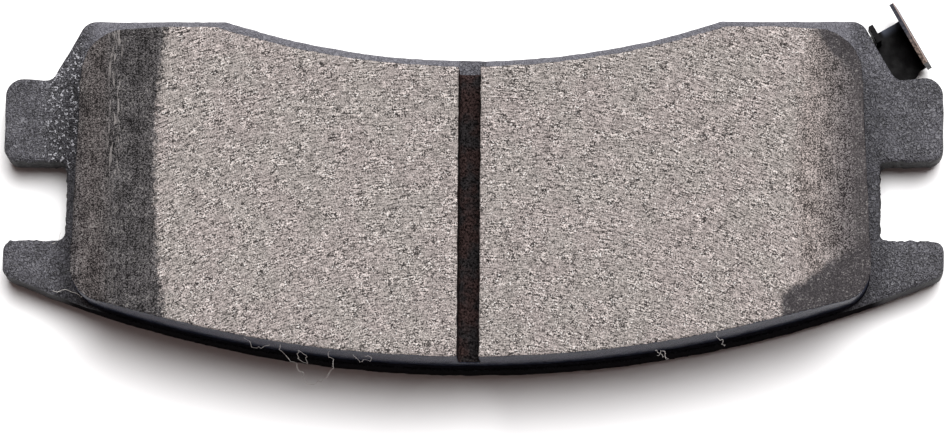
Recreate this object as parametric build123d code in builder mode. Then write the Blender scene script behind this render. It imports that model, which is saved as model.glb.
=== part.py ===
from build123d import *
import os
from math import cos, hypot, radians, sin, tan

os.makedirs("parts", exist_ok=True)

# Disc brake pad lying on its back, in millimetres. +X runs along the pad, +Y points to the rotor's
# centre and +Z out of the friction face. The origin is the middle of the back face: the plate's
# outline is centred on it in X and Y, and the shim's outer face is Z = 0.

# --- layers, counted up from the back -----------------------------------------------------------
outer_rubber_thickness = 0.25
core_thickness = 0.60
inner_rubber_thickness = 0.25
adhesive_thickness = 0.10
plate_thickness = 4.80
bond_thickness = 0.10
underlayer_thickness = 1.90
friction_thickness = 8.80

core_z = outer_rubber_thickness
inner_rubber_z = core_z + core_thickness
adhesive_z = inner_rubber_z + inner_rubber_thickness
plate_z = adhesive_z + adhesive_thickness
bond_z = plate_z + plate_thickness
underlayer_z = bond_z + bond_thickness
friction_z = underlayer_z + underlayer_thickness
face_z = friction_z + friction_thickness

# --- backing plate outline ----------------------------------------------------------------------
half_length = 61.0
half_height = 23.0
top_arc_low_y = 17.8
top_arc_radius = 102.3
bottom_arc_radius = 154.6
shoulder_x = 50.50
shoulder_corner = 2.0
diagonal_angle = 60.5          # the cut shoulder, measured from the X axis
ear_root_y = 15.2
ear_top_y = 15.75
ear_top_corner = 2.4
ear_root_fillet = 1.4
notch_floor_x = 52.8
notch_top_y = 4.4
notch_bottom_y = -5.9
notch_fillet = 0.8
upper_ear_lower_corner = 1.8
lower_ear_upper_corner = 1.4
lower_ear_lower_corner = 1.8
plate_front_edge_radius = 0.45  # die roll of the blanked front edge
plate_back_edge_break = 0.15

# --- retention holes under the friction material ------------------------------------------------
hole_radius = 5.0
hole_x = 25.0
hole_y = -1.5

# --- friction block -----------------------------------------------------------------------------
friction_top_inset = 2.8
friction_bottom_inset = 0.3
friction_end_top_x = 50.2
friction_end_bottom_x = 51.6
friction_top_corner = 5.8
friction_bottom_corner = 4.8
chamfer_start_x = 40.45
chamfer_depth = 3.8
slot_width = 2.8
slot_depth = 5.8

# --- shim ---------------------------------------------------------------------------------------
shim_inset = 1.1
shim_end_x = 50.0
shim_corner = 3.0
shim_cutout_gap = 0.6

# --- wear indicator, laid out along the plate's cut shoulder ------------------------------------
# "out" is measured square to the shoulder's edge, away from the plate, and "down" along the edge,
# from its upper corner.
sheet = 0.60
web_upper_down = 1.70
web_lower_down = 8.75
web_slant_out = 0.60
web_slant_down = 10.60
flange_upper_down = 0.35
flange_lower_down = 9.30
flange_top_out = 4.10
flange_top_z = 8.60
flange_lean = 8.0
bend_radius = 0.80
tab_gap = 0.45
tab_bend_radius = 0.30
tab_root_out = 1.60
tab_upper_down = 1.00
tab_lower_down = 3.40
tab_top_z = 5.40
relief_z = 2.20
rivet_out = -6.40
rivet_down = 5.60
rivet_pad_radius = 3.40
rivet_shank_radius = 1.50
rivet_head_radius = 2.40
rivet_head_corner = 0.25
rivet_countersink_depth = 1.20

# --- modelling allowances --------------------------------------------------------------------
overcut = 1.0                  # how far a cutter runs past what it cuts
corner_tolerance = 0.05        # for finding an outline's corner by its position


# Both long edges are arcs about centres on the Y axis, above the pad.
top_centre_y = top_arc_low_y + top_arc_radius
bottom_centre_y = bottom_arc_radius - half_height


def arc_y(centre_y, radius, x, sign):
    """Height of a circle centred on the Y axis, on its upper (+1) or lower (-1) side."""
    return centre_y + sign * (radius**2 - x**2) ** 0.5


def body_outline(top_inset, bottom_inset, end_top_x, end_bottom_x, top_corner, bottom_corner):
    """Outline that follows the plate's two long edges at an inset, between two slanted ends."""
    top_radius = top_arc_radius + top_inset
    bottom_radius = bottom_arc_radius - bottom_inset
    flat_y = half_height - top_inset
    flat_start_x = (top_radius**2 - (top_centre_y - flat_y) ** 2) ** 0.5
    end_y = arc_y(bottom_centre_y, bottom_radius, end_bottom_x, -1)
    top_low = (0, top_centre_y - top_radius)
    bottom_low = (0, bottom_centre_y - bottom_radius)
    with BuildSketch() as outline:
        with BuildLine():
            ThreePointArc((-flat_start_x, flat_y), top_low, (flat_start_x, flat_y))
            Polyline((flat_start_x, flat_y), (end_top_x, flat_y), (end_bottom_x, end_y))
            ThreePointArc((end_bottom_x, end_y), bottom_low, (-end_bottom_x, end_y))
            Polyline((-end_bottom_x, end_y), (-end_top_x, flat_y), (-flat_start_x, flat_y))
        make_face()
        fillet(near(outline.vertices(), end_top_x, flat_y), top_corner)
        fillet(near(outline.vertices(), end_bottom_x, end_y), bottom_corner)
    return outline.sketch


def near(vertices, x, y):
    """The two mirrored outline corners at (x, y) and (-x, y)."""
    return [v for v in vertices if hypot(abs(v.X) - x, v.Y - y) < corner_tolerance]


# --- outlines -----------------------------------------------------------------------------------
diagonal_run = (half_height - ear_root_y) / tan(radians(diagonal_angle))
ear_root_x = shoulder_x + diagonal_run
top_flat_x = (top_arc_radius**2 - (top_centre_y - half_height) ** 2) ** 0.5
ear_bottom_y = arc_y(bottom_centre_y, bottom_arc_radius, half_length, -1)

right_side = [
    (top_flat_x, half_height),
    (shoulder_x, half_height),
    (ear_root_x, ear_root_y),
    (half_length, ear_top_y),
    (half_length, notch_top_y),
    (notch_floor_x, notch_top_y),
    (notch_floor_x, notch_bottom_y),
    (half_length, notch_bottom_y),
    (half_length, ear_bottom_y),
]
left_side = [(-x, y) for x, y in reversed(right_side)]
corner_radii = [
    (shoulder_x, half_height, shoulder_corner),
    (ear_root_x, ear_root_y, ear_root_fillet),
    (half_length, ear_top_y, ear_top_corner),
    (half_length, notch_top_y, upper_ear_lower_corner),
    (notch_floor_x, notch_top_y, notch_fillet),
    (notch_floor_x, notch_bottom_y, notch_fillet),
    (half_length, notch_bottom_y, lower_ear_upper_corner),
    (half_length, ear_bottom_y, lower_ear_lower_corner),
]

with BuildSketch() as plate_outline:
    with BuildLine():
        ThreePointArc(left_side[-1], (0, top_arc_low_y), right_side[0])
        Polyline(*right_side)
        ThreePointArc(right_side[-1], (0, -half_height), left_side[0])
        Polyline(*left_side)
    make_face()
    for corner_x, corner_y, radius in corner_radii:
        fillet(near(plate_outline.vertices(), corner_x, corner_y), radius)

friction_outline = body_outline(
    friction_top_inset,
    friction_bottom_inset,
    friction_end_top_x,
    friction_end_bottom_x,
    friction_top_corner,
    friction_bottom_corner,
)

# --- wear indicator's own axes ------------------------------------------------------------------
# Local X runs outward from the cut shoulder and local -Y down along it.
outward = Vector(sin(radians(diagonal_angle)), cos(radians(diagonal_angle)), 0)
downward = outward.cross(Vector(0, 0, 1))
shoulder_corner_point = Vector(shoulder_x, half_height, 0)


def indicator_plane(z):
    """Plane parallel to the plate, with local X outward and local -Y down the cut shoulder."""
    return Plane(origin=shoulder_corner_point + Vector(0, 0, z), x_dir=outward, z_dir=(0, 0, 1))


def section_plane(out, down, z):
    """Plane square to the cut shoulder, with local X outward and local Y up."""
    origin = shoulder_corner_point + outward * out + downward * down + Vector(0, 0, z)
    return Plane(origin=origin, x_dir=outward, z_dir=downward)


leg_z = plate_z - sheet
leg_middle_z = leg_z + sheet / 2
bend_corner_out = flange_top_out + tan(radians(flange_lean)) * (flange_top_z - leg_middle_z)
bend_line_radius = bend_radius + sheet / 2
web_out = bend_corner_out - bend_line_radius * tan(radians(90 + flange_lean) / 2)

with BuildSketch() as leg_outline:
    with BuildLine():
        Polyline(
            (web_out, -web_upper_down),
            (tab_root_out, -web_upper_down),
            (tab_root_out, -tab_lower_down),
            (rivet_out, -(rivet_down - rivet_pad_radius)),
            (rivet_out, -(rivet_down + rivet_pad_radius)),
            (web_slant_out, -web_slant_down),
            (web_out, -web_lower_down),
            close=True,
        )
    make_face()
    with Locations((rivet_out, -rivet_down)):
        Circle(rivet_pad_radius)

# Half section of the rivet: a low head under the leg, and a countersunk head in the plate's front.
rivet_plane = section_plane(rivet_out, rivet_down, 0)
rivet_axis = Axis(rivet_plane.origin, (0, 0, 1))
with BuildSketch(rivet_plane) as rivet_section:
    with BuildLine():
        Polyline(
            (0, 0),
            (rivet_head_radius, 0),
            (rivet_head_radius, leg_z),
            (rivet_shank_radius, leg_z),
            (rivet_shank_radius, bond_z - rivet_countersink_depth),
            (rivet_head_radius, bond_z),
            (0, bond_z),
            close=True,
        )
    make_face()

# --- backing plate ------------------------------------------------------------------------------
with BuildPart() as backing_plate:
    with BuildSketch(Plane.XY.offset(plate_z)):
        add(plate_outline.sketch)
    extrude(amount=plate_thickness)
    fillet(backing_plate.faces().sort_by(Axis.Z)[-1].edges(), plate_front_edge_radius)
    chamfer(backing_plate.faces().sort_by(Axis.Z)[0].edges(), plate_back_edge_break)
    with BuildSketch(Plane.XY.offset(plate_z)):
        with Locations((-hole_x, hole_y), (hole_x, hole_y)):
            Circle(hole_radius)
    extrude(amount=plate_thickness, mode=Mode.SUBTRACT)
    revolve(rivet_section.sketch, axis=rivet_axis, mode=Mode.SUBTRACT)
backing_plate.part.label = "backing_plate"
export_step(backing_plate.part, "parts/backing_plate.step")

# --- bond film ----------------------------------------------------------------------------------
with BuildPart() as bond_film:
    with BuildSketch(Plane.XY.offset(bond_z)):
        add(friction_outline)
        with Locations((-hole_x, hole_y), (hole_x, hole_y)):
            Circle(hole_radius, mode=Mode.SUBTRACT)
    extrude(amount=bond_thickness)
bond_film.part.label = "bond_film"
export_step(bond_film.part, "parts/bond_film.step")

# --- underlayer with its two plugs --------------------------------------------------------------
with BuildPart() as underlayer:
    with BuildSketch(Plane.XY.offset(underlayer_z)):
        add(friction_outline)
    extrude(amount=underlayer_thickness)
    with BuildSketch(Plane.XY.offset(plate_z)):
        with Locations((-hole_x, hole_y), (hole_x, hole_y)):
            Circle(hole_radius)
    extrude(amount=plate_thickness + bond_thickness)
underlayer.part.label = "underlayer"
export_step(underlayer.part, "parts/underlayer.step")

# --- friction block -----------------------------------------------------------------------------
chamfer_run = friction_end_bottom_x - chamfer_start_x
chamfer_slope = chamfer_depth / chamfer_run
beyond_x = friction_end_bottom_x + overcut
beyond_z = face_z - chamfer_slope * (beyond_x - chamfer_start_x)

with BuildPart() as friction_block:
    with BuildSketch(Plane.XY.offset(friction_z)):
        add(friction_outline)
    extrude(amount=friction_thickness)
    # Ground-back ends.
    with BuildSketch(Plane.XZ):
        for side in (-1, 1):
            with BuildLine():
                Polyline(
                    (side * chamfer_start_x, face_z),
                    (side * beyond_x, beyond_z),
                    (side * beyond_x, face_z + overcut),
                    (side * chamfer_start_x, face_z + overcut),
                    close=True,
                )
            make_face()
    extrude(amount=2 * half_height, both=True, mode=Mode.SUBTRACT)
    # Cross slot, open at both long edges.
    with BuildSketch(Plane.XY.offset(face_z - slot_depth)):
        Rectangle(slot_width, 4 * half_height)
    extrude(amount=slot_depth + overcut, mode=Mode.SUBTRACT)
friction_block.part.label = "friction_block"
export_step(friction_block.part, "parts/friction_block.step")

# --- wear indicator -----------------------------------------------------------------------------
with BuildPart() as wear_indicator:
    with BuildSketch(indicator_plane(leg_z)):
        add(leg_outline.sketch)
    extrude(amount=sheet)
    # Web's outer bend and the flange, which leans inward.
    with BuildSketch(section_plane(0, flange_upper_down, 0)):
        with BuildLine():
            FilletPolyline(
                (tab_root_out, leg_middle_z),
                (bend_corner_out, leg_middle_z),
                (flange_top_out, flange_top_z),
                radius=bend_line_radius,
            )
        trace(line_width=sheet)
    extrude(amount=flange_lower_down - flange_upper_down)
    # Tab turned up against the plate's edge.
    with BuildSketch(section_plane(0, tab_upper_down, 0)):
        with BuildLine():
            FilletPolyline(
                (tab_root_out, leg_middle_z),
                (tab_gap + sheet / 2, leg_middle_z),
                (tab_gap + sheet / 2, tab_top_z),
                radius=tab_bend_radius + sheet / 2,
            )
        trace(line_width=sheet)
    extrude(amount=tab_lower_down - tab_upper_down)
    # Reliefs that let the tab and the flange stand longer than the web they turn up from.
    with BuildSketch(indicator_plane(leg_z - overcut)):
        with BuildLine():
            Polyline(
                (-overcut, 0),
                (2 * bend_corner_out, 0),
                (2 * bend_corner_out, -web_upper_down),
                (-overcut, -web_upper_down),
                close=True,
            )
        make_face()
        with BuildLine():
            Polyline(
                (web_slant_out, -web_slant_down),
                (web_out, -web_lower_down),
                (2 * bend_corner_out, -web_lower_down),
                (2 * bend_corner_out, -2 * web_lower_down),
                (web_slant_out, -2 * web_lower_down),
                close=True,
            )
        make_face()
    extrude(amount=relief_z - leg_z + overcut, mode=Mode.SUBTRACT)
    revolve(rivet_section.sketch, axis=rivet_axis, mode=Mode.SUBTRACT)
wear_indicator.part.label = "wear_indicator"
export_step(wear_indicator.part, "parts/wear_indicator.step")

# --- rivet --------------------------------------------------------------------------------------
with BuildPart() as wear_indicator_rivet:
    revolve(rivet_section.sketch, axis=rivet_axis)
    fillet(wear_indicator_rivet.edges().sort_by(Axis.Z)[0], rivet_head_corner)
wear_indicator_rivet.part.label = "wear_indicator_rivet"
export_step(wear_indicator_rivet.part, "parts/wear_indicator_rivet.step")

# --- shim: coated steel sheet, glued to the plate's back ----------------------------------------
shim_outline = body_outline(
    shim_inset,
    shim_inset,
    shim_end_x,
    shim_end_x,
    shim_corner,
    shim_corner,
)
notch_inner_out = rivet_out - rivet_pad_radius - shim_cutout_gap
notch_lower_down = web_slant_down + shim_cutout_gap
shim_layers = [
    ("shim_outer_rubber", 0, outer_rubber_thickness),
    ("shim_steel_core", core_z, core_thickness),
    ("shim_inner_rubber", inner_rubber_z, inner_rubber_thickness),
    ("shim_adhesive", adhesive_z, adhesive_thickness),
]

for name, layer_z, thickness in shim_layers:
    with BuildPart() as layer:
        with BuildSketch(Plane.XY.offset(layer_z)):
            add(shim_outline)
        extrude(amount=thickness)
        # Corner cut away around the wear indicator's leg.
        with BuildSketch(indicator_plane(layer_z)) as notch:
            with BuildLine():
                Polyline(
                    (notch_inner_out, shim_end_x),
                    (notch_inner_out, -notch_lower_down),
                    (shim_end_x, -notch_lower_down),
                    (shim_end_x, shim_end_x),
                    close=True,
                )
            make_face()
            fillet(notch.vertices().sort_by(Axis.X)[:2].sort_by(Axis.Y)[0], shim_corner)
        extrude(amount=thickness, mode=Mode.SUBTRACT)
    layer.part.label = name
    export_step(layer.part, f"parts/{name}.step")
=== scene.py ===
"""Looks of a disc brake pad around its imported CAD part. Metres, in the CAD's own frame: the pad lies
on its back, +X along it, +Y to the rotor's centre, +Z out of the friction face. The long edge towards
+Y is concave and the one towards -Y convex."""

import math
from itertools import product

import bmesh
import bpy
import numpy as np
from mathutils import Matrix, Vector


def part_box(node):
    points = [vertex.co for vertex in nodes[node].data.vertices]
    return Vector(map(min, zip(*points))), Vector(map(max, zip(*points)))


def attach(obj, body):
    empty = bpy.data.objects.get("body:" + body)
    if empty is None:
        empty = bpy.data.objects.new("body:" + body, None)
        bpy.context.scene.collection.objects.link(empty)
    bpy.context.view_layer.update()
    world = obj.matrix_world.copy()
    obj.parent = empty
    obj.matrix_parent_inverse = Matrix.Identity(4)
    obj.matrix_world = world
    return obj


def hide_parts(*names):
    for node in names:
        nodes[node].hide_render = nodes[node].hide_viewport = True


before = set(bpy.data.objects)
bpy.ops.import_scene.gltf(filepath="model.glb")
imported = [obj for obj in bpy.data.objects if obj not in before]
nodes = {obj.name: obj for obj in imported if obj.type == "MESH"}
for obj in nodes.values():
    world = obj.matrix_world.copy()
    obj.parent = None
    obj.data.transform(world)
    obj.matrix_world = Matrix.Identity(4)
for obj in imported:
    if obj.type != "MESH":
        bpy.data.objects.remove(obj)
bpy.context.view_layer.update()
MM = 0.001

# Places on the part in millimetres, from the frame, and below them four as in the CAD.
BLOCK_FOOT, FACE = (corner.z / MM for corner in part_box("friction_block"))
BLOCK_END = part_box("friction_block")[1].x / MM
PLATE_BACK, PLATE_FRONT = (corner.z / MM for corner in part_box("backing_plate"))
FLANGE_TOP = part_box("wear_indicator")[1].z / MM
SLOT_HALF_WIDTH = 1.4
SLOT_FLOOR = FACE - 5.8
CHAMFER_START = 40.45
NOTCH_FLOOR = 52.8

# ---------------------------------------------------------------- camera, light and floor

# The camera looks down from about 10 degrees off the vertical, through a long lens.
CAMERA_PLACE = Vector((33.2, -141.0, 837.8)) * MM
CAMERA_TARGET = Vector((0.46, -3.18, 6.0)) * MM
CAMERA_ROLL = 0.00685
FOCAL_LENGTH = 246.6
SENSOR_WIDTH = 36.0
CLIP_RANGE = (0.05, 50.0)

SUN_DIRECTION = Vector((0.15, 0.385, 0.92))
SUN_ENERGY = 6.4
SUN_SPREAD = math.radians(44)
SKY = (0.141, 0.104, 0.098)

FLOOR_SIDE = 20.0
FLOOR_DROP = -0.00002


def add_camera():
    data = bpy.data.cameras.new("camera")
    data.sensor_fit = "HORIZONTAL"
    data.sensor_width = SENSOR_WIDTH
    data.lens = FOCAL_LENGTH
    data.clip_start, data.clip_end = CLIP_RANGE
    camera = bpy.data.objects.new("camera", data)
    bpy.context.scene.collection.objects.link(camera)
    back = (CAMERA_PLACE - CAMERA_TARGET).normalized()
    right = Vector((0, 1, 0)).cross(back).normalized()
    up = back.cross(right)
    turn = Matrix.Rotation(CAMERA_ROLL, 3, "Z")
    camera.matrix_world = (
        Matrix.Translation(CAMERA_PLACE)
        @ (Matrix((right, up, back)).transposed() @ turn).to_4x4()
    )
    bpy.context.scene.camera = camera


def add_light():
    data = bpy.data.lights.new("softbox", "SUN")
    data.energy = SUN_ENERGY
    data.angle = SUN_SPREAD
    sun = bpy.data.objects.new("softbox", data)
    bpy.context.scene.collection.objects.link(sun)
    sun.matrix_world = SUN_DIRECTION.normalized().to_track_quat("Z", "Y").to_matrix().to_4x4()
    world = bpy.data.worlds.new("studio")
    bpy.context.scene.world = world
    world.use_nodes = True
    world.node_tree.nodes["Background"].inputs["Color"].default_value = (*SKY, 1)
    bpy.context.scene.view_settings.view_transform = "Standard"


def add_floor(material):
    mesh = bpy.data.meshes.new("floor")
    corners = [
        (x * FLOOR_SIDE, y * FLOOR_SIDE, FLOOR_DROP)
        for x, y in ((-1, -1), (1, -1), (1, 1), (-1, 1))
    ]
    mesh.from_pydata(corners, [], [(0, 1, 2, 3)])
    mesh.materials.append(material)
    floor = bpy.data.objects.new("floor", mesh)
    bpy.context.scene.collection.objects.link(floor)


# ---------------------------------------------------------------- procedural materials


def rgba(colour):
    """A colour with its alpha, or a node's socket as it is."""
    return (*colour, 1) if isinstance(colour, tuple) else colour


class Shader:
    """A material's node tree, with short calls for the few node kinds used here. Patterns are laid
    out in the object's own millimetres, so sizes below read as sizes on the part."""

    def __init__(self, name):
        self.material = bpy.data.materials.new(name)
        self.material.use_nodes = True
        self.tree = self.material.node_tree
        self.surface = self.tree.nodes["Principled BSDF"]
        place = self.tree.nodes.new("ShaderNodeTexCoord").outputs["Object"]
        self.place = self.vector_math("SCALE", place, scale=1 / MM)
        split = self.tree.nodes.new("ShaderNodeSeparateXYZ")
        self.join(self.place, split.inputs[0])
        self.x, self.y, self.z = split.outputs
        facing = self.tree.nodes.new("ShaderNodeSeparateXYZ")
        self.join(self.tree.nodes.new("ShaderNodeNewGeometry").outputs["Normal"], facing.inputs[0])
        self.normal_y, self.normal_z = facing.outputs[1:]

    def join(self, value, socket):
        if isinstance(value, bpy.types.NodeSocket):
            self.tree.links.new(value, socket)
        else:
            socket.default_value = value

    def math(self, operation, a, b=0.0):
        node = self.tree.nodes.new("ShaderNodeMath")
        node.operation = operation
        for value, socket in zip((a, b), node.inputs):
            self.join(value, socket)
        return node.outputs[0]

    def add(self, *values):
        total = values[0]
        for value in values[1:]:
            total = self.math("ADD", total, value)
        return total

    def times(self, *values):
        total = values[0]
        for value in values[1:]:
            total = self.math("MULTIPLY", total, value)
        return total

    def larger(self, a, b):
        return self.math("MAXIMUM", a, b)

    def absolute(self, value):
        return self.math("ABSOLUTE", value)

    def opposite(self, share):
        return self.math("SUBTRACT", 1.0, share)

    def swing(self, noise, amount, middle=0.5):
        """Noise as a push to either side of zero."""
        return self.times(self.math("SUBTRACT", noise, middle), amount)

    def vector_math(self, operation, a, b=None, scale=None):
        node = self.tree.nodes.new("ShaderNodeVectorMath")
        node.operation = operation
        self.join(a, node.inputs[0])
        if b is not None:
            self.join(b, node.inputs[1])
        if scale is not None:
            self.join(scale, node.inputs["Scale"])
        return node.outputs[1] if operation == "LENGTH" else node.outputs[0]

    def vector(self, x, y, z):
        node = self.tree.nodes.new("ShaderNodeCombineXYZ")
        for value, socket in zip((x, y, z), node.inputs):
            self.join(value, socket)
        return node.outputs[0]

    def moved(self, *offset):
        """The place some millimetres away, where a noise of the same size has another pattern."""
        return self.vector_math("ADD", self.place, offset)

    def swirled(self, size, reach):
        """The place pushed about by smooth noise, which bends the patterns laid out on it."""
        push = self.vector_math("SCALE", self.noise(size, 2, 0.6, colour=True), scale=reach)
        return self.vector_math("ADD", self.place, push)

    def noise(self, size, detail=2.0, rough=0.5, at=None, colour=False):
        """Smooth noise, 0 to 1 about 0.5, with features of that many millimetres."""
        node = self.tree.nodes.new("ShaderNodeTexNoise")
        self.join(at or self.place, node.inputs["Vector"])
        node.inputs["Scale"].default_value = 1 / size
        node.inputs["Detail"].default_value = detail
        node.inputs["Roughness"].default_value = rough
        return node.outputs["Color" if colour else "Fac"]

    def step(self, value, start, end, to_low=0.0, to_high=1.0):
        """Smooth ramp, from to_low where value is start to to_high where it is end."""
        node = self.tree.nodes.new("ShaderNodeMapRange")
        node.interpolation_type = "SMOOTHSTEP"
        settings = (value, start, end, to_low, to_high)
        for setting, name in zip(settings, ("Value", "From Min", "From Max", "To Min", "To Max")):
            self.join(setting, node.inputs[name])
        return node.outputs["Result"]

    def mix(self, share, a, b):
        """Colour a where share is 0 and b where it is 1."""
        node = self.tree.nodes.new("ShaderNodeMix")
        node.data_type = "RGBA"
        for value, socket in zip((share, rgba(a), rgba(b)), (node.inputs[0], *node.inputs[6:8])):
            self.join(value, socket)
        return node.outputs[2]

    def blend(self, share, a, b):
        """Number a where share is 0 and b where it is 1."""
        node = self.tree.nodes.new("ShaderNodeMix")
        for value, socket in zip((share, a, b), (node.inputs[0], *node.inputs[2:4])):
            self.join(value, socket)
        return node.outputs[0]

    def gain(self, colour, amount):
        """The colour made lighter or darker by an amount that varies over the surface."""
        return self.vector_math("SCALE", colour, scale=amount)

    def bump(self, height, depth):
        """Relief: height 0 to 1 stands for that many millimetres."""
        node = self.tree.nodes.new("ShaderNodeBump")
        node.inputs["Distance"].default_value = depth * MM
        node.inputs["Strength"].default_value = 1.0
        self.join(height, node.inputs["Height"])
        for name in ("Normal", "Coat Normal"):
            self.join(node.outputs[0], self.surface.inputs[name])

    def finish(self, colour, rough, metal=0.0, **sockets):
        self.join(rgba(colour), self.surface.inputs["Base Color"])
        self.join(rough, self.surface.inputs["Roughness"])
        self.join(metal, self.surface.inputs["Metallic"])
        for name, value in sockets.items():
            self.join(value, self.surface.inputs[name.replace("_", " ").title().replace("Ior", "IOR")])
        return self.material


def floor_material():
    s = Shader("white_paper")
    tone = s.gain((0.80, 0.80, 0.805), s.step(s.noise(60.0), 0, 1, 0.985, 1.015))
    return s.finish(tone, 0.75)


def grinding_streaks(s):
    """Grinding leaves fine arcs about a centre far off on the convex side."""
    arc_centre = 88.0
    stretch = 0.17
    from_centre = s.add(s.y, arc_centre)
    radius = s.vector_math("LENGTH", s.vector(s.x, from_centre, 0.0))
    around = s.times(s.math("ARCTAN2", s.x, from_centre), arc_centre)
    return s.noise(0.19, 1, 0.5, at=s.vector(s.times(around, stretch), radius, 0.0))


def ground_face(s, fine, streak, specks):
    """A warm grey binder full of pale fibre ends, lightened further as painted glints, and pits
    painted near black as painted shade, torn in places. Gives its colour and where the pits are."""
    warm, grey = (0.187, 0.166, 0.159), (0.181, 0.165, 0.156)
    fibre_end_and_glint, pit_shade = (0.56, 0.545, 0.53), (0.017, 0.015, 0.015)
    torn = s.step(s.noise(1.7, 3, 0.6), 0.42, 0.62)
    grit = s.add(s.swing(fine, 4.4), s.swing(streak, 2.9), s.swing(s.noise(0.7, 2, 0.6), 0.3))
    light = s.larger(s.add(1.0, s.times(grit, s.blend(torn, 0.75, 1.5))), 0.15)
    elsewhere = s.moved(71.0, 47.0, 9.0)
    mottle = s.step(s.noise(1.1, 4, 0.7, at=elsewhere), 0.40, 0.33)
    colour = s.mix(s.step(s.noise(6.0, 2, 0.5), 0.40, 0.60), warm, grey)
    colour = s.gain(colour, s.times(light, s.blend(mottle, 1.03, 0.62)))
    bright = s.step(specks, s.blend(torn, 0.68, 0.62), s.blend(torn, 0.74, 0.69))
    # Pale fibre ends, made brighter as painted glints of metal flecks.
    colour = s.mix(s.times(bright, 0.85), colour, fibre_end_and_glint)
    pits = s.noise(0.40, 2, 0.6, at=elsewhere)
    pits = s.step(pits, s.blend(torn, 0.35, 0.42), s.blend(torn, 0.30, 0.36))
    # The pits are painted near black: painted shade in the hollows.
    return s.mix(s.times(pits, 0.85), colour, pit_shade), pits


def smooth_corners(s, blotch):
    """Where the two right-hand corners are, upper and lower, which grinding missed."""
    uneven = s.swing(blotch, 4.0)
    upper = s.step(s.add(s.x, s.y, uneven), 63.2, 64.6)
    lower = s.step(s.add(s.x, s.times(s.y, -1.5), uneven), 60.8, 62.6)
    past_start = s.add(s.x, s.times(uneven, 0.4))
    return upper, s.times(lower, s.step(past_start, CHAMFER_START - 1.05, CHAMFER_START - 0.05))


def chamfer_face(s, fine, coarse, blotch, specks, smooth_corner):
    """The same grit in a darker, blotchy binder. The left one is charcoal with a brown band and a few
    scratches, the right one tan, darkened by painted shade towards the block's end, with fine grooves
    there."""
    charcoal, brown = (0.0375, 0.0355, 0.0365), (0.0515, 0.0455, 0.0445)
    tan, shaded_tan = (0.150, 0.131, 0.124), (0.054, 0.049, 0.050)
    groove_tone, corner_tone = (0.024, 0.023, 0.025), (0.0375, 0.0345, 0.0365)
    fleck_tone, scratch_tone = (0.26, 0.25, 0.24), (0.30, 0.28, 0.27)
    grooves_start = BLOCK_END - 2.25
    scratched_x = -CHAMFER_START - 5.35

    brown_band = s.times(
        s.step(s.x, -BLOCK_END - 0.55, -BLOCK_END + 1.95),
        s.step(s.x, -BLOCK_END + 5.95, -BLOCK_END + 3.45),
    )
    left = s.mix(s.times(brown_band, 0.8), charcoal, brown)
    # Painted shade: the right chamfer darkens towards the block's end.
    right = s.mix(s.step(s.x, CHAMFER_START + 2.05, grooves_start), tan, shaded_tan)
    comb = s.step(s.noise(0.22, 1, 0.5, at=s.vector(s.x, 0.0, 0.0)), 0.42, 0.58)
    comb = s.times(s.step(s.x, grooves_start, grooves_start + 0.5), comb)
    right = s.mix(s.times(comb, 0.42), right, groove_tone)
    right = s.mix(smooth_corner, right, corner_tone)
    colour = s.mix(s.step(s.x, -1.0, 1.0), left, right)

    grooves = s.noise(0.36, 2, 0.6, at=s.vector(s.x, s.times(s.y, 0.05), 0.0))
    light = s.add(
        1.0,
        s.swing(fine, 8.0),
        s.swing(coarse, 1.8),
        s.swing(grooves, 2.2),
        s.swing(blotch, 3.0),
    )
    at_end = s.step(s.x, grooves_start - 0.6, grooves_start + 0.6)
    calm = s.times(s.larger(smooth_corner, at_end), 0.6)
    colour = s.gain(colour, s.blend(calm, s.larger(light, 0.22), 1.0))
    flecks = s.times(s.step(specks, 0.58, 0.68), s.step(blotch, 0.35, 0.6))
    colour = s.mix(s.times(flecks, 0.45), colour, fleck_tone)

    scratches = s.noise(0.24, 1, 0.5, at=s.vector(s.x, s.times(s.y, 0.14), 3.0))
    near = s.step(s.absolute(s.add(s.x, -scratched_x)), 1.3, 0.5)
    upwards = s.step(s.y, -1.0, 5.0, 0.1, 0.42)
    return s.mix(s.times(s.step(scratches, 0.54, 0.64), near, upwards), colour, scratch_tone)


def past_chamfer_edge(s, lower_corner):
    """Where the chamfers are. Their edges are ragged and bow along the pad."""
    ragged = s.swing(s.noise(0.7, 3, 0.7), 3.2)
    bow = s.math("POWER", s.times(s.add(s.y, -2.0), 0.065), 2.0)
    left = s.add(s.times(s.x, -1.0), ragged, bow)
    left = s.step(left, CHAMFER_START - 0.65, CHAMFER_START + 0.45)
    right = s.add(s.x, s.times(ragged, 1.6), s.times(bow, -1.5))
    right = s.step(right, CHAMFER_START + 0.15, CHAMFER_START + 2.55)
    return s.larger(left, s.larger(right, lower_corner))


def slot_dust(s):
    grey, brown = (0.0095, 0.0085, 0.0088), (0.0150, 0.0095, 0.0090)
    colour = s.mix(s.step(s.noise(2.5), 0.4, 0.6), grey, brown)
    return s.gain(colour, s.step(s.noise(0.26, 2, 0.7), 0.30, 0.72, 0.1, 3.2))


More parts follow.
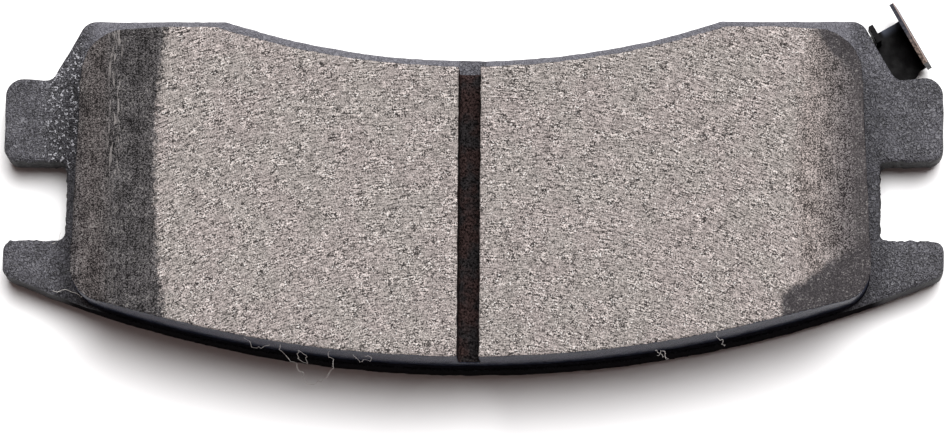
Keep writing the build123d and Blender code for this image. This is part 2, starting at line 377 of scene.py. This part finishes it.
def block_wall(s, height, elsewhere):
    """Black paint, with a band towards the ground face painted lighter as a highlight: grey on most
    walls and bluish on the convex edge's wall, where patches of wear and painted sheen are stronger.
    """
    black, wear_and_sheen_tone = (0.0052, 0.0056, 0.0088), (0.108, 0.110, 0.120)
    grey_highlight_band, blue_highlight_band = (0.013, 0.0125, 0.014), (0.038, 0.044, 0.068)
    convex_edge = s.step(s.normal_y, -0.1, -0.6)
    colour = s.gain(black, s.step(s.noise(0.9, 2), 0.3, 0.7, 0.6, 1.4))
    # Patches of wear in the band, partly painted sheen, stronger on the convex edge's wall.
    wear_and_sheen = s.step(s.noise(0.8, 4, 0.7, at=elsewhere), 0.54, 0.70)
    wear_and_sheen = s.times(wear_and_sheen, s.step(s.z, FACE - 6.8, FACE - 3.3), s.blend(convex_edge, 0.25, 0.7))
    colour = s.mix(wear_and_sheen, colour, wear_and_sheen_tone)
    # Painted highlight: the band under the ground face is lighter, bluish on the convex edge's wall.
    band = s.mix(convex_edge, grey_highlight_band, blue_highlight_band)
    band = s.gain(band, s.step(s.noise(0.55, 3, 0.7), 0.32, 0.68, 0.55, 1.5))
    return s.mix(s.step(height, FACE - 8.8, FACE - 4.4, 0.0, 0.7), colour, band)


def friction_material():
    """The ground face, the chamfers, and the paint left on the walls and in the slot. Only a band
    along the convex edge is glossy."""
    s = Shader("friction_compound")
    fine = s.noise(0.165, 1, 0.5)
    coarse = s.noise(0.36, 2, 0.7)
    blotch = s.noise(2.2, 4, 0.7)
    elsewhere = s.moved(31.0, 17.0, 5.0)
    specks = s.noise(0.25, 1, 0.5, at=elsewhere)
    streak = grinding_streaks(s)
    ground, pits = ground_face(s, fine, streak, specks)
    upper_corner, lower_corner = smooth_corners(s, blotch)
    smooth_corner = s.larger(upper_corner, lower_corner)
    chamfer = chamfer_face(s, fine, coarse, blotch, specks, smooth_corner)
    ends = past_chamfer_edge(s, lower_corner)

    skin = s.add(s.normal_z, s.swing(s.noise(0.6, 3, 0.6), 0.35))
    slot = s.times(
        s.step(s.z, FACE - 0.1, FACE - 0.3),
        s.step(s.z, SLOT_FLOOR - 0.4, SLOT_FLOOR - 0.3),
        s.step(s.absolute(s.x), SLOT_HALF_WIDTH + 0.35, SLOT_HALF_WIDTH + 0.15),
    )
    walls = s.larger(s.step(skin, 0.62, 0.48), slot)
    slot = s.times(slot, s.step(s.normal_y, -0.6, -0.4))
    height = s.add(s.z, s.swing(s.noise(2.2, 3, 0.6), 2.4))
    colour = s.mix(ends, ground, chamfer)
    colour = s.mix(walls, colour, block_wall(s, height, elsewhere))
    colour = s.mix(slot, colour, slot_dust(s))

    gloss = s.times(
        walls,
        s.step(height, FACE - 8.0, FACE - 4.0, 0.0, 0.55),
        s.step(height, FACE + 0.4, FACE - 1.0, 0.4, 1.0),
        s.step(s.normal_y, -0.5, -0.8),
        s.opposite(slot),
    )
    s.join(gloss, s.surface.inputs["Coat Weight"])
    relief = s.add(
        s.times(s.opposite(pits), 0.5),
        s.times(streak, s.blend(ends, 0.5, 0.0)),
        s.times(fine, 0.7),
        s.times(ends, coarse, 2.2),
    )
    ripple = s.times(s.noise(1.3, 3, 0.6), 3.0)
    s.bump(s.blend(walls, relief, ripple), 0.06)
    return s.finish(colour, 0.85, specular_ior_level=0.0, coat_roughness=0.20)


def thin_edge_material(name):
    """Dull black paint, run over the edge of a layer under the friction block."""
    s = Shader(name)
    folds = s.noise(1.2, 2, 0.6, at=s.swirled(1.6, 1.4))
    folds = s.step(s.absolute(s.math("SUBTRACT", folds, 0.5)), 0.0, 0.12)
    fine = s.noise(0.36, 1, 0.5)
    tone = s.add(
        1.0,
        s.swing(fine, 3.4),
        s.swing(folds, 0.25, middle=0.6),
        s.swing(s.noise(2.5, 3, 0.6), 1.2),
    )
    s.bump(s.add(s.times(s.noise(0.8, 2, 0.6), 0.6), s.times(folds, 0.5), s.times(fine, 0.4)), 0.03)
    rough = s.step(s.noise(1.4, 2), 0.3, 0.7, 0.72, 0.88)
    colour = s.gain((0.004, 0.0038, 0.005), s.larger(tone, 0.3))
    return s.finish(colour, rough, specular_ior_level=0.0)


def plate_material():
    """Baked black paint, wrinkled like leather on the front. Its gloss is a coat, which the walls have
    only at the ears, and the rim along the convex edge not at all."""
    s = Shader("plate_paint")
    paint, bead_glint_tone = (0.0510, 0.0505, 0.0580), (0.34, 0.34, 0.365)
    shaded_edge_wall, shaded_ear_wall = (0.006, 0.0055, 0.006), (0.012, 0.0115, 0.0135)
    off_centre = s.absolute(s.x)
    folds = s.noise(0.68, 2, 0.6, at=s.swirled(1.8, 1.6))
    folds = s.step(s.absolute(s.math("SUBTRACT", folds, 0.5)), 0.0, 0.14)
    fine = s.noise(0.20, 1, 0.5)
    lumps = s.noise(0.41, 2, 0.6)
    wall = s.step(s.normal_z, 0.5, 0.2)
    tone = s.add(
        1.0,
        s.swing(fine, 3.6),
        s.swing(folds, 0.35, middle=0.6),
        s.swing(s.noise(2.5, 3, 0.6), 1.6),
    )

    # Beside the block the paint is darker, a painted shade, and less glossy. The shoulders are
    # lighter, the rim along the concave edge is lighter as a painted highlight, and the rim along the
    # convex edge is darkened to black as painted shade.
    beside_block = s.step(off_centre, BLOCK_END + 3.55, BLOCK_END + 0.55)
    tone = s.times(s.larger(tone, 0.3), s.blend(beside_block, 1.0, 0.75))
    tone = s.times(tone, s.step(s.y, 14.0, 17.0, 1.0, 1.55))
    # Painted highlight: the rim along the concave edge is lightened, less so by the slot.
    concave_rim_highlight = s.times(
        s.step(off_centre, BLOCK_END - 0.95, BLOCK_END - 3.45),
        s.step(s.y, 6.0, 9.0),
        s.step(off_centre, SLOT_HALF_WIDTH + 0.1, SLOT_HALF_WIDTH + 0.4, 0.25, 1.0),
    )
    tone = s.blend(concave_rim_highlight, tone, s.blend(0.6, tone, 2.8))
    # Painted shade: the rim along the convex edge, at the foot of the block's wall, is darkened to
    # near black and has no gloss.
    convex_rim_shade = s.times(
        s.step(off_centre, BLOCK_END - 1.45, BLOCK_END - 4.45),
        s.step(s.y, -12.0, -14.0),
    )
    tone = s.times(tone, s.blend(convex_rim_shade, 1.0, 0.2))
    ears = s.step(off_centre, BLOCK_END + 0.05, BLOCK_END + 2.55)
    # Painted shade: the walls are painted far darker than the front, less so at the ears.
    colour = s.mix(wall, s.gain(paint, tone), s.mix(ears, shaded_edge_wall, shaded_ear_wall))

    # Beads of paint stand on the upper left ear, beside the block. Their tops are painted light as
    # glints, and the patch around them is darker.
    bead_patch = s.times(
        s.step(s.x, -BLOCK_END - 5.75, -BLOCK_END - 2.55),
        s.step(s.x, -BLOCK_END + 1.05, -BLOCK_END + 0.05),
        s.step(s.y, 2.0, 5.0),
    )
    beads = s.times(s.step(s.noise(0.50, 2, 0.5), 0.53, 0.58), bead_patch, s.opposite(wall))
    colour = s.gain(colour, s.blend(bead_patch, 1.0, 0.72))
    # Painted glints on the beads.
    colour = s.mix(s.times(beads, s.step(fine, 0.46, 0.58)), colour, bead_glint_tone)

    front_gloss = s.times(s.blend(beside_block, 0.58, 0.40), s.opposite(convex_rim_shade))
    wall_gloss = s.times(ears, s.step(s.y, -2.0, 2.0, 0.35, 0.4))
    s.join(s.blend(wall, front_gloss, wall_gloss), s.surface.inputs["Coat Weight"])
    height = s.add(s.times(lumps, 0.6), s.times(folds, 0.5), s.times(fine, 0.3), s.times(beads, 0.3))
    s.bump(s.times(height, s.blend(wall, 1.0, 0.2)), 0.23)
    return s.finish(colour, 0.9, specular_ior_level=0.0, coat_roughness=0.42)


def indicator_material():
    """Black web, its black partly painted shade and its upper end lit by a painted highlight; a slate
    flange whose lower end is brown and whose bare outer edge is lightened as a painted glint.
    """
    s = Shader("indicator_coating")
    slate, brown_tone, bare_edge_glint = (0.028, 0.029, 0.036), (0.082, 0.062, 0.052), (0.26, 0.20, 0.18)
    black, lit = (0.0022, 0.0018, 0.0022), (0.080, 0.090, 0.120)
    # The strip stands on the plate's cut shoulder: one axis out of the cut and one down along it.
    cut_x, cut_y = 0.870, 0.492
    out = s.add(s.times(s.x, cut_x), s.times(s.y, cut_y))
    down = s.add(s.times(s.x, cut_y), s.times(s.y, -cut_x))
    grain = s.noise(0.30, 3, 0.7)
    flange = s.times(s.step(s.z, FLANGE_TOP - 0.44, FLANGE_TOP - 0.14), s.step(s.normal_z, 0.2, 0.5))
    slate = s.gain(slate, s.step(grain, 0.3, 0.7, 0.5, 1.6))
    brown_tone = s.gain(brown_tone, s.step(grain, 0.35, 0.65, 0.2, 1.9))
    # The flange turns brown towards its lower end.
    edge = s.mix(s.step(s.add(down, s.times(grain, 3.0)), 10.5, 13.5), slate, brown_tone)
    # The bare outer edge of the flange, lightened as a painted glint.
    edge = s.mix(s.step(out, 59.50, 59.58), edge, bare_edge_glint)
    # The web's black coating, made darker still as painted shade in its pocket; its upper end gets a
    # painted highlight.
    web = s.gain(black, s.step(grain, 0.3, 0.7, 0.6, 1.5))
    lit_end = s.times(s.step(down, 7.8, 6.6, 0.0, 0.75), s.step(out, 57.0, 57.6))
    web = s.mix(lit_end, web, lit)
    s.bump(s.noise(0.5, 3, 0.6), 0.02)
    rough = s.step(s.noise(1.4, 2), 0.3, 0.7, 0.38, 0.55)
    return s.finish(s.mix(flange, web, edge), rough, specular_ior_level=0.04)


def steel_material(name, colour, rough):
    s = Shader(name)
    brushed = s.noise(0.12, 3, 0.6, at=s.vector(s.times(s.x, 0.05), s.y, s.z))
    tone = s.gain(colour, s.step(brushed, 0.3, 0.7, 0.85, 1.15))
    s.bump(brushed, 0.006)
    return s.finish(tone, s.step(s.noise(1.2), 0.3, 0.7, rough - 0.05, rough + 0.08), 1.0)


def rubber_material(name, colour):
    s = Shader(name)
    tone = s.gain(colour, s.step(s.noise(4.0, 3, 0.6), 0.3, 0.7, 0.85, 1.2))
    s.bump(s.noise(0.18, 2, 0.6), 0.012)
    return s.finish(tone, s.step(s.noise(1.5, 3), 0.3, 0.7, 0.55, 0.72))


def fibre_material():
    s = Shader("aramid_fibre")
    tone = s.gain((0.60, 0.575, 0.545), s.step(s.noise(0.5), 0.3, 0.7, 0.7, 1.15))
    return s.finish(tone, 0.5)


# ---------------------------------------------------------------- geometry

NOISE_CELLS = 64
BLOCK_VOXEL = 0.29
PLATE_VOXEL = 0.34
# The rough stretch at each rail notch reaches a little past its corners.
ROUGH_MIDDLE = -0.8
ROUGH_REACH = 5.4

# The points of each loose fibre's line, in millimetres.
STRANDS = (
    ((-23.7, -20.3, 16.8), (-24.2, -21.4, 12.5), (-23.0, -22.3, 12.0), (-21.8, -23.4, 8.0),
     (-21.5, -24.0, 2.8), (-20.4, -24.1, 2.3), (-19.0, -23.8, 4.4), (-17.6, -22.9, 9.5),
     (-17.6, -22.3, 12.5), (-18.0, -21.9, 14.0), (-17.1, -21.5, 15.5), (-15.7, -20.6, 16.8),
     (-14.0, -18.6, 16.88)),
    ((-21.9, -21.6, 15.0), (-20.9, -21.9, 12.0), (-21.2, -22.4, 9.0), (-22.1, -22.0, 11.0),
     (-21.6, -21.6, 14.0)),
    ((-29.8, -18.8, 16.9), (-28.6, -19.9, 15.0), (-27.6, -20.7, 11.0), (-25.6, -20.9, 14.5)),
    ((-14.7, -22.2, 15.0), (-14.0, -22.4, 10.5), (-12.4, -22.5, 14.0), (-13.3, -22.3, 16.0)),
    ((23.8, -21.4, 15.0), (24.4, -21.6, 12.5), (25.3, -21.9, 9.5), (24.9, -21.5, 14.0),
     (24.0, -21.7, 11.0)),
    ((30.3, -19.0, 16.9), (31.5, -19.6, 16.0), (32.4, -20.1, 12.5), (32.7, -20.3, 9.5)),
    ((-54.5, -12.6, 6.2), (-51.8, -12.7, 6.3), (-50.6, -13.4, 6.5), (-49.5, -13.3, 8.5),
     (-49.2, -12.5, 12.9)),
    ((-54.3, -6.4, 6.2), (-53.4, -4.9, 5.0)),
)
STRAND_STEP = 0.12
STRAND_RADIUS = 0.030
STRAND_SIDES = 5
CURL_WAVES = (3.1, 1.7)
CURL_HEIGHT = 0.04


def lattice_noise(points, size, seed):
    """Smooth noise from -1 to 1 at each point (millimetres), with features of that size."""
    table = np.random.default_rng(seed).uniform(-1, 1, (NOISE_CELLS,) * 3)
    scaled = points / size
    cell = np.floor(scaled).astype(int)
    part = scaled - cell
    part = part * part * (3 - 2 * part)
    value = np.zeros(len(points))
    for corner in product((0, 1), repeat=3):
        weight = np.prod(np.where(corner, part, 1 - part), axis=1)
        index = (cell + corner) % NOISE_CELLS
        value += weight * table[index[:, 0], index[:, 1], index[:, 2]]
    return value


def smooth_step(value, low, high):
    t = np.clip((value - low) / (high - low), 0, 1)
    return t * t * (3 - 2 * t)


def remeshed(node, name, voxel):
    """A copy of a CAD node's shape in even quads of that many millimetres."""
    piece = bpy.data.objects.new(name, nodes[node].data.copy())
    bpy.context.scene.collection.objects.link(piece)
    weld = piece.modifiers.new("weld", "WELD")
    weld.merge_threshold = 1e-6
    remesh = piece.modifiers.new("remesh", "REMESH")
    remesh.mode = "VOXEL"
    remesh.voxel_size = voxel * MM
    graph = bpy.context.evaluated_depsgraph_get()
    mesh = bpy.data.meshes.new_from_object(piece.evaluated_get(graph))
    piece.modifiers.clear()
    piece.data = mesh
    return piece


def dissolve(piece, hidden):
    """Merges the even quads whose corners are all hidden, on a flat side nothing sees."""
    mesh = bmesh.new()
    mesh.from_mesh(piece.data)
    flat = [f for f in mesh.faces if all(hidden(v.co / MM) for v in f.verts)]
    bmesh.ops.dissolve_faces(mesh, faces=flat)
    mesh.to_mesh(piece.data)
    mesh.free()


def read_vertices(piece):
    """The places of a piece's vertices in millimetres, and their normals."""
    mesh = piece.data
    count = len(mesh.vertices)
    place, normal = np.empty(count * 3), np.empty(count * 3)
    mesh.vertices.foreach_get("co", place)
    mesh.vertex_normals.foreach_get("vector", normal)
    return place.reshape(-1, 3) / MM, normal.reshape(-1, 3)


def shade_smooth(mesh):
    mesh.polygons.foreach_set("use_smooth", np.ones(len(mesh.polygons), bool))


def sink(piece, place, normal, depth):
    """Moves each vertex inwards by its own depth in millimetres."""
    place = place - normal * depth[:, None]
    piece.data.vertices.foreach_set("co", (place * MM).ravel())
    piece.data.update()
    shade_smooth(piece.data)


def stand_for(piece, material, node):
    """Puts a piece in the place of its CAD node."""
    piece.data.materials.clear()
    piece.data.materials.append(material)
    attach(piece, "root")
    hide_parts(node)


def make_friction_block(material):
    """The block with torn pits, rough chamfers, crumbled slot edges and softened corners."""
    piece = remeshed("friction_block", "friction_compound", BLOCK_VOXEL)
    dissolve(piece, lambda c: c.z < BLOCK_FOOT + 0.06)
    place, normal = read_vertices(piece)
    x, _, z = place.T
    top = smooth_step(normal[:, 2], 0.5, 0.8)
    corner = 1 - smooth_step(np.abs(normal).max(axis=1), 0.80, 0.97)
    ends = smooth_step(np.abs(x), CHAMFER_START + 0.05, CHAMFER_START + 1.55) * top
    small = lattice_noise(place, 0.8, 1)
    middle = lattice_noise(place, 1.5, 2)
    grooves = lattice_noise(place * (1, 0.05, 0), 0.7, 3)
    torn = smooth_step(lattice_noise(place, 1.0, 4), 0.45, 0.75)
    crumbled = np.maximum(0, lattice_noise(place, 0.9, 5))
    by_slot = smooth_step(-np.abs(x), -SLOT_HALF_WIDTH - 0.5, -SLOT_HALF_WIDTH - 0.2)
    depth = 0.012 + 0.012 * small
    depth = depth + ends * (0.05 + 0.035 * small + 0.03 * grooves)
    depth = depth + top * (1 - ends) * 0.12 * torn
    # The even quads round the corners off, so they're pushed back out, less where they crumbled.
    depth = depth + corner * (0.12 * np.maximum(0, middle) - 0.09)
    depth = depth + by_slot * corner * 0.22 * crumbled
    above_foot = smooth_step(z, BLOCK_FOOT + 0.05, BLOCK_FOOT + 0.6)
    sink(piece, place, normal, depth * above_foot)
    stand_for(piece, material, "friction_block")


def make_plate(material):
    """The plate with lumpy blanked sides and rough rail notches."""
    piece = remeshed("backing_plate", "plate_painted", PLATE_VOXEL)
    dissolve(piece, lambda c: c.z < PLATE_BACK + 0.07)
    # The middle of the front is hidden under the friction block.
    hidden_x, hidden_y = 47, 13
    dissolve(
        piece,
        lambda c: c.z > PLATE_FRONT - 0.07 and abs(c.x) < hidden_x and abs(c.y) < hidden_y,
    )
    place, normal = read_vertices(piece)
    x, y, z = place.T
    side = smooth_step(-np.abs(normal[:, 2]), -0.85, -0.4)
    front = smooth_step(normal[:, 2], 0.5, 0.8)
    beside_rail = smooth_step(-np.abs(y - ROUGH_MIDDLE), -ROUGH_REACH - 0.5, -ROUGH_REACH + 0.5)
    notch = beside_rail * smooth_step(np.abs(x), NOTCH_FLOOR - 0.8, NOTCH_FLOOR - 0.4) * side
    lumps = lattice_noise(place * (1, 1, 0.25), 2.2, 11)
    small = lattice_noise(place, 0.75, 12)
    sharp = lattice_noise(place, 0.5, 13)
    depth = side * (0.07 * lumps + 0.05 * small) + notch * 0.22 * sharp
    depth = depth + front * (0.05 + 0.05 * small)
    above_back = smooth_step(z, PLATE_BACK + 0.05, PLATE_BACK + 0.4)
    sink(piece, place, normal, depth * above_back)
    stand_for(piece, material, "backing_plate")


def strand_path(corners, rng):
    """A smooth line through these points, with a little curl added between them."""
    corners = np.array(corners)
    ends = np.vstack([2 * corners[0] - corners[1], corners, 2 * corners[-1] - corners[-2]])
    path = []
    for before, here, there, after in zip(ends, ends[1:], ends[2:], ends[3:]):
        count = max(3, int(np.linalg.norm(there - here) / STRAND_STEP))
        for t in np.arange(count)[:, None] / count:
            path.append(0.5 * (2 * here + (there - before) * t
                               + (2 * before - 5 * here + 4 * there - after) * t**2
                               + (3 * here - 3 * there + after - before) * t**3).ravel())
    path = np.array(path + [corners[-1]])
    along = np.arange(len(path)) * STRAND_STEP
    for axis in range(3):
        for wave in CURL_WAVES:
            shift = rng.uniform(0, 6)
            path[:, axis] += CURL_HEIGHT * wave * np.sin(along / wave * 2 * math.pi + shift)
    return path


def add_tube(path, points, faces):
    """Adds a thin closed tube along the path to these lists."""
    ahead = np.gradient(path, axis=0)
    ahead /= np.linalg.norm(ahead, axis=1)[:, None]
    side = np.cross(ahead, (0.31, 0.17, 0.93))
    side /= np.linalg.norm(side, axis=1)[:, None]
    up = np.cross(side, ahead)
    start = len(points)
    for i in range(len(path)):
        for k in range(STRAND_SIDES):
            angle = 2 * math.pi * k / STRAND_SIDES
            outwards = math.cos(angle) * side[i] + math.sin(angle) * up[i]
            points.append(tuple((path[i] + STRAND_RADIUS * outwards) * MM))
    for i in range(len(path) - 1):
        row = start + i * STRAND_SIDES
        above = row + STRAND_SIDES
        for k in range(STRAND_SIDES):
            m = (k + 1) % STRAND_SIDES
            faces.append((row + k, row + m, above + m, above + k))
    faces.append(tuple(range(start + STRAND_SIDES - 1, start - 1, -1)))
    faces.append(tuple(range(len(points) - STRAND_SIDES, len(points))))


def make_fibres(material):
    """Loose aramid fibres hanging from the friction block's edges."""
    rng = np.random.default_rng(21)
    points, faces = [], []
    for corners in STRANDS:
        add_tube(strand_path(corners, rng), points, faces)
    mesh = bpy.data.meshes.new("loose_fibres")
    mesh.from_pydata(points, [], faces)
    shade_smooth(mesh)
    mesh.materials.append(material)
    piece = bpy.data.objects.new("loose_fibres", mesh)
    bpy.context.scene.collection.objects.link(piece)
    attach(piece, "root")


def dress(node, material):
    for slot in nodes[node].material_slots:
        slot.material = material


# ---------------------------------------------------------------- the scene

add_camera()
add_light()
add_floor(floor_material())
make_friction_block(friction_material())
make_plate(plate_material())
make_fibres(fibre_material())

for node, name in (("underlayer", "underlayer_skin"), ("bond_film", "bond_film")):
    dress(node, thin_edge_material(name))
dress("wear_indicator", indicator_material())
dress("wear_indicator_rivet", steel_material("zinc_steel", (0.42, 0.41, 0.38), 0.42))
dress("shim_steel_core", steel_material("shim_steel", (0.45, 0.45, 0.46), 0.38))
dress("shim_outer_rubber", rubber_material("shim_rubber", (0.030, 0.030, 0.033)))
dress("shim_inner_rubber", rubber_material("shim_rubber_inner", (0.025, 0.025, 0.026)))
dress("shim_adhesive", rubber_material("adhesive", (0.30, 0.29, 0.25)))
